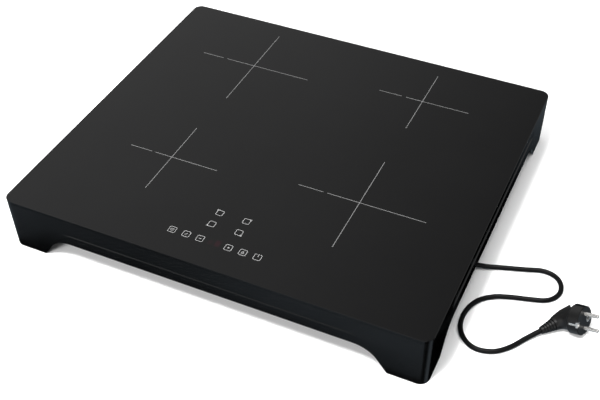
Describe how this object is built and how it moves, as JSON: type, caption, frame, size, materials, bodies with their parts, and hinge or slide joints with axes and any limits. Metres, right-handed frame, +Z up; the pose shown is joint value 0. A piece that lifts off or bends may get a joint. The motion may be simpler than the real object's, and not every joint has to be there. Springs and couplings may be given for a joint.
{
  "type": "induction cooktop",
  "caption": "Free-standing induction cooktop: black glass ceramic top with cooking zones and touch controls on a plastic frame with corner feet, blowers inside, free cord with earthed plug.",
  "frame": {"origin": "on the surface the cooktop stands on, under the centre of its body", "axes": "+X to the right and +Y to the back as seen by the user at the touch controls, +Z up"},
  "size_m": [0.7569, 0.52, 0.08],
  "materials": {
    "black_glass": "polished glass ceramic, black, opaque",
    "silicone": "black silicone bead",
    "housing_plastic": "black moulded plastic with a fine grain",
    "zinc_steel": "zinc-coated sheet steel",
    "screw_steel": "zinc-plated steel",
    "spring_steel": "spring steel",
    "foot_rubber": "black rubber",
    "cover_plastic": "black plastic",
    "cable_rubber": "black satin cable sheath",
    "nickel": "nickel-plated brass",
    "carrier_plastic": "dark heat-resistant plastic",
    "mica": "pale mica board",
    "copper": "litz copper",
    "ferrite": "dark grey ferrite",
    "lead_sleeve": "glass-fibre sleeving",
    "sensor_ceramic": "white ceramic",
    "circuit_board": "green glass-epoxy board",
    "heatsink_aluminium": "extruded",
    "semiconductor": "black epoxy packages",
    "capacitor_case": "film capacitor boxes",
    "choke_ferrite": "wound toroids",
    "terminal_plastic": "pale polyamide",
    "display_plastic": "dark red window",
    "fan_plastic": "black plastic"
  },
  "bodies": {
    "body": {"board_carrier_left": "carrier_plastic", "board_carrier_right": "carrier_plastic", "bottom_pan": "zinc_steel", "cable_cover": "cover_plastic", "cable_tail": "cable_rubber", "capacitors_left": "capacitor_case", "capacitors_right": "capacitor_case", "casing_screws": "screw_steel", "coil_carrier_front_left": "carrier_plastic", "coil_carrier_front_right": "carrier_plastic", "coil_carrier_rear_left": "carrier_plastic", "coil_carrier_rear_right": "carrier_plastic", "coil_leads": "lead_sleeve", "coil_springs": "spring_steel", "coil_tray_left": "zinc_steel", "coil_tray_right": "zinc_steel", "coil_winding_front_left": "copper", "coil_winding_front_right": "copper", "coil_winding_rear_left": "copper", "coil_winding_rear_right": "copper", "control_board": "circuit_board", "control_carrier": "carrier_plastic", "cord_clamp": "cover_plastic", "cord_gland": "cable_rubber", "display_module": "display_plastic", "fan_housing_left": "fan_plastic", "fan_housing_right": "fan_plastic", "ferrite_bars_front_left": "ferrite", "ferrite_bars_front_right": "ferrite", "ferrite_bars_rear_left": "ferrite", "ferrite_bars_rear_right": "ferrite", "filter_board": "circuit_board", "filter_capacitors": "capacitor_case", "filter_chokes": "choke_ferrite", "foot_pads": "foot_rubber", "glass_adhesive": "silicone", "glass_top": "black_glass", "heatsink_left": "heatsink_aluminium", "heatsink_right": "heatsink_aluminium", "housing_frame": "housing_plastic", "inner_screws": "screw_steel", "insulation_disc_front_left": "mica", "insulation_disc_front_right": "mica", "insulation_disc_rear_left": "mica", "insulation_disc_rear_right": "mica", "mains_leads": "lead_sleeve", "plug_body": "cable_rubber", "plug_earth_contacts": "nickel", "plug_pins": "nickel", "power_board_left": "circuit_board", "power_board_right": "circuit_board", "power_cord": "cable_rubber", "power_transistors_left": "semiconductor", "power_transistors_right": "semiconductor", "standoffs": "screw_steel", "temperature_sensors": "sensor_ceramic", "terminal_block": "terminal_plastic", "touch_springs": "spring_steel"},
    "rotor_left": {"fan_rotor_left": "fan_plastic"},
    "rotor_right": {"fan_rotor_right": "fan_plastic"}
  },
  "joints": [
    {"name": "fan_left_spin", "type": "hinge", "parent": "body", "child": "rotor_left", "pos_m": [-0.205, 0.16, 0.042], "axis": [0, 0, 1], "continuous": true},
    {"name": "fan_right_spin", "type": "hinge", "parent": "body", "child": "rotor_right", "pos_m": [0.205, 0.16, 0.042], "axis": [0, 0, 1], "continuous": true}
  ]
}
